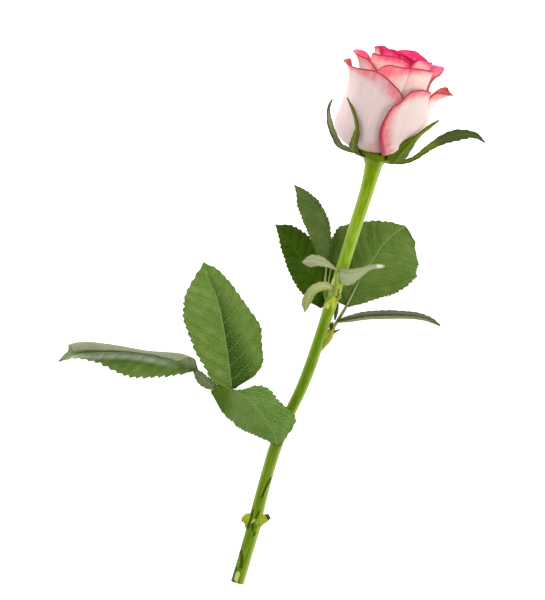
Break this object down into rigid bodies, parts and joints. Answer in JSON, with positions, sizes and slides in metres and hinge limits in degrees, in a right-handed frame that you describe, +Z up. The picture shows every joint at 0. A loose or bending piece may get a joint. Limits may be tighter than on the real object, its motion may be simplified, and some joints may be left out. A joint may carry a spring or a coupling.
{
  "type": "cut rose",
  "caption": "Single cut rose lying on its side: half-open bloom with pink-edged petals, sepals, a thornless stem and saw-toothed compound leaves.",
  "frame": {"origin": "middle of the rose's footprint, on the surface it lies on", "axes": "+Y along the stem from the cut end to the bloom, +Z up from the surface"},
  "size_m": [0.16, 0.2524, 0.0411],
  "materials": {
    "stem_green": "satin green bark with a waxy bloom",
    "leaf_green": "satin leaf with a soft sheen",
    "shoot_green": "matt, downy young leaf",
    "calyx_green": "matt sepal",
    "petal_blush": "matt velvety petal, pink at its edge",
    "petal_rose": "matt velvety petal, deep pink at its edge",
    "petal_pink": "matt velvety petal, deep pink"
  },
  "bodies": {
    "root": {"stem": "stem_green", "leaf_lower": "leaf_green", "leaf_right": "leaf_green", "leaf_left": "leaf_green", "shoot_front": "shoot_green", "calyx": "calyx_green", "petal_guard_right": "petal_blush", "petal_guard_left": "petal_blush", "petal_guard_under": "petal_blush", "petal_second_front": "petal_blush", "petal_second_left": "petal_blush", "petal_second_right": "petal_blush", "petal_second_under": "petal_blush", "petal_third_front": "petal_rose", "petal_third_right": "petal_rose", "petal_third_left": "petal_rose", "petal_third_under": "petal_rose", "bloom_heart": "petal_pink"}
  },
  "joints": []
}
